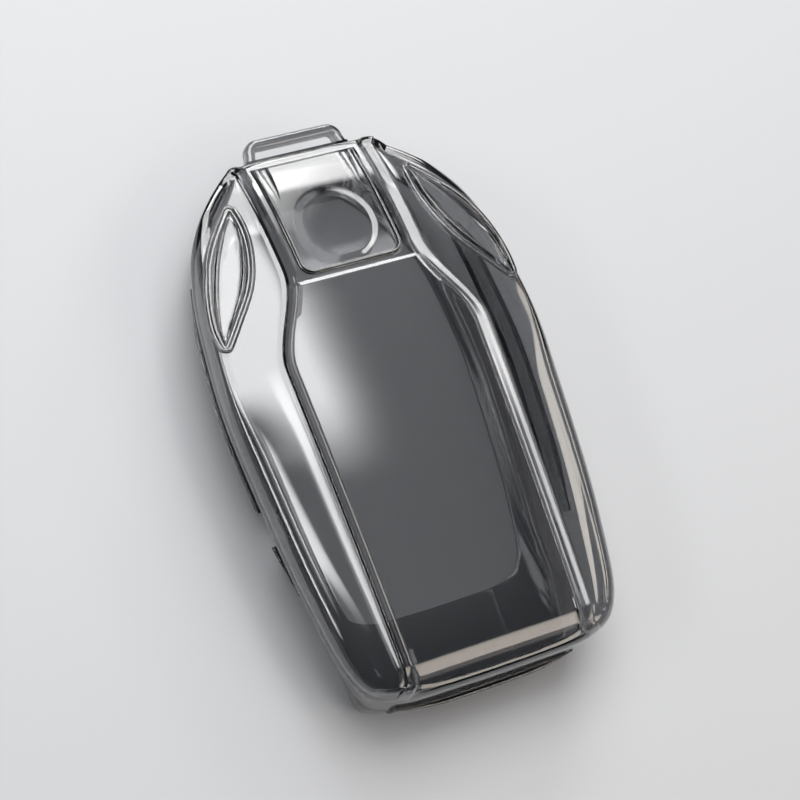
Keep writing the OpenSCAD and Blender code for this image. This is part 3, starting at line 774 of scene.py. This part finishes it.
def makePanel():
    bead, edge = panel["bead"], panel["beadEdge"]

    def lifted(points, up):
        return [Vector((p.x, p.y, panelTop(p.y) + up)) for p in points]

    def beadUp(p, t):
        fade = ease((p.y - panel["hingeY"] + panel["fadeStart"]) / panel["fadeRun"])
        return (panel["beadHeight"] * math.sin(math.pi * t) ** panel["beadPower"]
                * (1 - fade))

    rings = [lifted(panelOutline(0, 0), -drop)
             for drop in (panel["thick"], *panel["edgeDrops"])]
    rim = panel["rimInset"]
    rings.append(lifted(panelOutline(-rim, -rim), -panel["rimDrop"]))
    rings.append(lifted(panelOutline(-edge, -edge), 0))
    for n in range(1, panel["beadSteps"] + 1):
        t = n / panel["beadSteps"]
        points = panelOutline(-edge - bead * t, -edge - panel["hingeStep"] * n)
        rings.append([Vector((p.x, p.y, panelTop(p.y) + beadUp(p, t))) for p in points])
    # the flat face, from the bead in to the recess's circle
    bound = panelOutline(-edge - bead - panel["faceInset"], -panel["faceTop"])
    centre = Vector((0, panel["discY"]))
    circle = []
    for p in bound:
        d = p - centre
        length = min(panel["discRadius"], d.length - panel["discMargin"])
        circle.append(centre + d.normalized() * length)
    for n in range(1, panel["faceSteps"] + 1):
        t = n / panel["faceSteps"]
        rings.append(lifted([b.lerp(c, t) for b, c in zip(bound, circle)], 0))
    # the recess's sloped lip and its flat middle
    for n in range(1, panel["lipSteps"] + 1):
        t = n / panel["lipSteps"]
        shrink = 1 - t * panel["discLip"] / panel["discRadius"]
        rings.append(lifted([centre + (c - centre) * shrink for c in circle],
                            -panel["discDepth"] * ease(t)))
    inner = 1 - panel["discLip"] / panel["discRadius"]
    for n in range(1, panel["dishSteps"]):
        shrink = inner * (1 - n / panel["dishSteps"])
        rings.append(lifted([centre + (c - centre) * shrink for c in circle],
                            -panel["discDepth"]))
    piece = loft("buttonPanel", rings)
    # closes the recess's middle and the flat underside
    closeEnds(piece)
    flute = fluteTool("flute")
    for tool in (mirrorCopy(flute, "fluteLeft"), flute):
        combine(piece, tool, "DIFFERENCE")
    smoothFinish(piece)
    return piece


buttonPanel = makePanel()
settle(buttonPanel, "panel", padPlastic, "clear_pad", "button_panel")


# Rear shell: one rounded section led round the outline, with clip lips and ribs
rear = {
    "foot": 1.8, "footSteps": 7, "innerRadius": 1.0, "innerSteps": 4,
    "rim": 1, "lowRim": 14.7, "highRim": 7, "seatGap": 0.1, "openingThick": 0.6,
    "guardShares": (0.05, 0.5, 0.95),
    "marks": 4, "edge": 0.25, "edgeShare": 0.3,
    "taper": 1.6, "thin": 0.3,
    "clipRoot": 0.8, "clipFoot": 2.2, "clipInside": 0.5, "clipRound": 0.35,
    "clipSteps": 3, "clipTurn": 30,          # the clip's round top leaves out its first degrees
    "skirtSteps": 7, "skirtInside": 0.56, "skirtLow": 0.5, "skirtEnd": (-1, 0.6),
    "lip": 1.2, "lipHeight": 1.6, "lipGap": 0.2, "lowLip": 2.4, "sideLip": (8.8, 17.2),
    "rib": 0.8, "ribHeight": 2, "ribGap": 0.5, "lowRib": 3.2,
    "highRib": 22, "highRibHeight": 0.6,
    "endSteps": 32, "sideSteps": 48,
}
rear["openingX"] = (cover["halfWidth"] - form["sideLean"] * cover["waist"] - rear["foot"]
                    - rear["rim"])


def openingPlace(s, z, grow=0):
    p = waist(s)
    n = outward(s)
    length = cover["length"] - rear["lowRim"] - rear["highRim"]
    x = p.x * rear["openingX"] / cover["halfWidth"] + n.x * grow
    low = cover["lowY"]
    y = low + rear["lowRim"] + (p.y - low) * length / cover["length"] + n.y * grow
    return Vector((x, y, z))


def rearSection(s):
    seat, wall = cover["seam"] - rear["seatGap"], cover["wall"]
    foot, r, e, share = rear["foot"], rear["innerRadius"], rear["edge"], rear["edgeShare"]
    points = [wallPlace(s, -e, seat), wallPlace(s, -e * share, seat - e * share),
              wallPlace(s, 0, seat - e), wallPlace(s, 0, mix(seat, foot, 0.5))]
    points += [wallPlace(s, -foot * (1 - math.cos(a)), foot * (1 - math.sin(a)))
               for a in arc(rear["footSteps"], 0, 90)]
    # rings close to both ends of the plate keep it flat between them
    points += [points[-1].lerp(openingPlace(s, 0, e), guard) for guard in rear["guardShares"]]
    # the plate thins towards the opening's rounded edge
    t = rear["openingThick"]
    points += [openingPlace(s, 0, e), openingPlace(s, e * share, e * share),
               openingPlace(s, e), openingPlace(s, t - e),
               openingPlace(s, t - e * share, e * share), openingPlace(s, t, e)]
    inside = wallPlace(s, -wall - r, wall)
    points += [points[-1].lerp(inside, guard) for guard in rear["guardShares"]]
    points += [wallPlace(s, -wall - r * (1 - math.sin(a)), wall + r * (1 - math.cos(a)))
               for a in arc(rear["innerSteps"], 0, 90)]
    points += [wallPlace(s, -wall, mix(seat, foot, 0.5)), wallPlace(s, -wall, seat - e),
               wallPlace(s, -wall + e * share, seat - e * share),
               wallPlace(s, -wall + e, seat)]
    return points


def rearFrame():
    half = lastShare * rear["marks"]
    shares = [(n / rear["marks"], 1) for n in range(half + 1)]
    shares += [(n / rear["marks"], -1) for n in range(half - 1, 0, -1)]
    sections = []
    for s, sign in shares:
        sections.append([Vector((sign * p.x, p.y, p.z)) for p in rearSection(s)])
    rings = [[section[n] for section in sections] for n in range(len(sections[0]))]
    return loft("rearShell", rings, ends="ring")


def thinned(s, ends, size):
    full = ease((s - ends[0]) / rear["taper"]) * ease((ends[1] - s) / rear["taper"])
    return size * mix(rear["thin"], 1, full)


def clipSection(s, base, side, gap, thick, high, skirt):
    # a clip's outline: foot in the wall, a rounded top, and a slot towards the wall
    top, root = cover["seam"] + high, cover["seam"] - rear["clipRoot"]
    r, inside = min(rear["clipRound"], thick / 3), -rear["clipInside"]

    def at(out, z):
        return wallPlace(s, base + side * out, z)

    points = [at(gap, root), at(gap, top - r)]
    points += [at(gap + r * (1 - math.cos(a)), top - r * (1 - math.sin(a)))
               for a in arc(rear["clipSteps"], rear["clipTurn"], 90)]
    points += [at(gap + thick - r * (1 - math.sin(a)), top - r * (1 - math.cos(a)))
               for a in arc(rear["clipSteps"], 0, 90 - rear["clipTurn"])]
    points += [at(gap + thick, top - r), at(gap + thick, root)]
    if skirt:
        # the outer face runs on down to the rounded foot
        count = rear["skirtSteps"]
        points += [at(mix(gap + thick, -rear["skirtInside"], ease(n / count)),
                      mix(root, rear["skirtLow"], n / count)) for n in range(1, count + 1)]
        points.append(at(*rear["skirtEnd"]))
    else:
        points.append(at(inside, cover["seam"] - rear["clipFoot"]))
    points.append(at(inside, root))
    return points


def clipStrip(name, ends, steps, size, base=0, side=1, skirt=False):
    # size is gap, thickness and height; the strip is capped at both ends
    rings = []
    for s in (mix(*ends, n / steps) for n in range(steps + 1)):
        u = min(abs(s), 2 * lastShare - abs(s))
        left = s < 0 or s > lastShare
        section = clipSection(u, base, side, size[0], thinned(s, ends, size[1]),
                              size[2] if side > 0 else thinned(s, ends, size[2]), skirt)
        rings.append([Vector((-p.x if left else p.x, p.y, p.z)) for p in section])
    return loft(name, rings, ends="capped")


def makeRearShell():
    shell = rearFrame()
    lip = (rear["lipGap"], rear["lip"], rear["lipHeight"])
    rib = (rear["ribGap"], rear["rib"])
    low, lowRib, highRib = rear["lowLip"], rear["lowRib"], rear["highRib"]
    steps, inside = rear["endSteps"], -cover["wall"]
    strips = [
        clipStrip("lowLip", (-low, low), steps, lip, skirt=True),
        clipStrip("lowRib", (-lowRib, lowRib), steps, (*rib, rear["ribHeight"]), inside, -1),
        clipStrip("highRib", (highRib, 2 * lastShare - highRib), steps,
                  (*rib, rear["highRibHeight"]), inside, -1),
        clipStrip("sideLip", rear["sideLip"], rear["sideSteps"], lip)]
    strips.append(mirrorCopy(strips[-1], "sideLipLeft"))
    for strip in strips:
        combine(shell, strip, "UNION")
    cutSideButton(shell, sideCut["rearLow"])
    smoothFinish(shell)
    return shell


rearShell = makeRearShell()
settle(rearShell, "rear", shellPlastic, "clear_shell", "rear_shell")


# Key loop: a rounded flat bar led round three sides of the ring's slot
loop = {"bar": 1.9, "splay": 0.3, "corner": 2.6, "edge": 0.8,
        "legSteps": 5, "cornerSteps": 10, "farSteps": 20, "edgeSteps": 6}


def makeLoop():
    w, seat = loopHigh.x / mm, cover["highY"] + cover["seatStep"]
    far, low, high = loopHigh.y / mm, loopLow.z / mm, loopHigh.z / mm
    bar, r, out = loop["bar"], loop["corner"], w - loop["splay"]
    # the bar's outer line from one foot to the middle, with its sideways direction
    path = []
    for t in (n / loop["legSteps"] for n in range(loop["legSteps"])):
        path.append((Vector((mix(w, out, t), mix(seat, far - r, t))), Vector((1, 0))))
    for a in arc(loop["cornerSteps"], 0, 90):
        d = Vector((math.cos(a), math.sin(a)))
        path.append((Vector((out - r, far - r)) + d * r, d))
    for n in range(1, loop["farSteps"]):
        path.append((Vector((mix(out - r, 0, n / loop["farSteps"]), far)), Vector((0, 1))))
    path.append((Vector((0, far)), Vector((0, 1))))
    path += [(Vector((-p.x, p.y)), Vector((-d.x, d.y))) for p, d in reversed(path[:-1])]
    e, t = loop["edge"], high - low
    corners = ((-e, t - e, 0), (-bar + e, t - e, 90), (-bar + e, e, 180), (-e, e, 270))
    rings = []
    for p, d in path:
        ring = []
        for cx, cz, start in corners:
            for a in arc(loop["edgeSteps"], start, start + 90):
                flat = p + d * (cx + e * math.cos(a))
                ring.append(Vector((flat.x, flat.y, low + cz + e * math.sin(a))))
        rings.append(ring)
    piece = loft("keyLoop", rings)
    closeEnds(piece)
    smoothFinish(piece)
    return piece


keyLoop = makeLoop()
settle(keyLoop, "front", shellPlastic, "clear_shell", "key_loop")


# Pale floor and the plain studio round it
studio = {"floorSize": 1.6, "floorPlace": (0.15, 0.05, 0),
          "floorColor": (0.56, 0.57, 0.585, 1), "floorRough": 0.7,
          "skyColor": (0.06, 0.064, 0.072, 1), "skyStrength": 1.0,
          "bounces": 24, "clearBounces": 20}


def paleFloor():
    startClean()
    bpy.ops.mesh.primitive_plane_add(size=studio["floorSize"], location=studio["floorPlace"])
    floor = bpy.context.object
    floor.name = "floor"
    material = bpy.data.materials.new("paleFloor")
    material.use_nodes = True
    skin = material.node_tree.nodes["Principled BSDF"]
    skin.inputs["Base Color"].default_value = studio["floorColor"]
    skin.inputs["Roughness"].default_value = studio["floorRough"]
    floor.data.materials.append(material)


paleFloor()


# Studio light: the clear plastic shows its shape through these soft panels
def softLamp(name, place, aim, size, radiance, soft, tint=(1, 1, 1)):
    data = bpy.data.lights.new(name, "AREA")
    data.shape = "RECTANGLE"
    data.size, data.size_y = size
    # a panel's power is its radiance times its area times pi
    data.energy = radiance * size[0] * size[1] * math.pi
    data.color = tint
    softenEdges(data, soft)
    lamp = bpy.data.objects.new(name, data)
    bpy.context.scene.collection.objects.link(lamp)
    lamp.location = place
    lamp.rotation_euler = (Vector(aim) - Vector(place)).to_track_quat("-Z", "Y").to_euler()


def softenEdges(data, soft):
    # the panel fades towards its four edges, as a cloth diffuser does
    data.use_nodes = True
    nodes, links = data.node_tree.nodes, data.node_tree.links
    spot = addNode(nodes, "NewGeometry")
    parts = addNode(nodes, "SeparateXYZ")
    links.new(spot.outputs["Parametric"], parts.inputs["Vector"])
    fades = []
    for axis in ("X", "Y"):
        middle = addNode(nodes, "Math", {1: 0.5})
        middle.operation = "SUBTRACT"
        links.new(parts.outputs[axis], middle.inputs[0])
        away = addNode(nodes, "Math")
        away.operation = "ABSOLUTE"
        links.new(middle.outputs[0], away.inputs[0])
        fade = addNode(nodes, "MapRange", {"From Min": 0.5, "From Max": 0.5 - soft})
        fade.interpolation_type = "SMOOTHSTEP"
        links.new(away.outputs[0], fade.inputs["Value"])
        fades.append(fade)
    both = addNode(nodes, "Math")
    both.operation = "MULTIPLY"
    links.new(fades[0].outputs["Result"], both.inputs[0])
    links.new(fades[1].outputs["Result"], both.inputs[1])
    links.new(both.outputs[0], nodes["Emission"].inputs["Strength"])


coverMiddle = (0, 0, 0)
# name, place, what it faces, size, radiance, soft edge, tint
softLamp("mainPanel", (-0.045, 0.34, 0.6), (-0.045, 0.34, 0), (0.66, 0.52), 5.2, 0.14)
softLamp("lowPanel", (0.12, 0.02, 0.58), (0.12, 0.02, 0), (0.10, 0.31), 5, 0.28)
softLamp("edgePanel", (-0.09, 0.06, 0.58), (-0.09, 0.06, 0), (0.1, 0.2), 5, 0.28)
softLamp("topPanel", (0.14, 0.73, 0.59), coverMiddle, (0.56, 0.32), 4.8, 0.12)
softLamp("leftPanel", (-0.73, 0.12, 0.52), coverMiddle, (0.6, 0.14), 6, 0.1)
softLamp("backPanel", (0.38, 0.76, 0.36), coverMiddle, (0.36, 0.4), 6, 0.1)
softLamp("rightPanel", (0.74, 0.07, 0.5), coverMiddle, (0.5, 0.13), 3, 0.1, (1, 0.93, 0.84))
softLamp("nosePanel", (0.34, -0.42, 0.5), (0.34, -0.42, 0), (0.44, 0.6), 2.6, 0.15, (1, 0.9, 0.8))

world = bpy.data.worlds.new("studio")
bpy.context.scene.world = world
world.use_nodes = True
sky = world.node_tree.nodes["Background"]
sky.inputs["Color"].default_value = studio["skyColor"]
sky.inputs["Strength"].default_value = studio["skyStrength"]


# Camera at the photograph's angle
view = {"focal": 117.0, "sensor": 36, "nearest": 0.01,
        "place": (-0.18279, -0.07102, 0.39134), "right": (0.86832, -0.34497, 0.35639),
        "up": (0.24708, 0.92387, 0.29228), "back": (-0.43009, -0.16573, 0.88745)}


def photoCamera():
    data = bpy.data.cameras.new("photoCamera")
    data.lens = view["focal"]
    data.sensor_width = view["sensor"]
    data.clip_start = view["nearest"]
    camera = bpy.data.objects.new("photoCamera", data)
    bpy.context.scene.collection.objects.link(camera)
    turn = Matrix([view["right"], view["up"], view["back"]]).transposed().to_4x4()
    camera.matrix_world = Matrix.Translation(view["place"]) @ turn
    bpy.context.scene.camera = camera


photoCamera()
scene = bpy.context.scene
scene.view_settings.view_transform = "Standard"
scene.cycles.caustics_refractive = False
scene.cycles.caustics_reflective = False
scene.cycles.max_bounces = studio["bounces"]
scene.cycles.transmission_bounces = studio["clearBounces"]
scene.cycles.transparent_max_bounces = studio["bounces"]
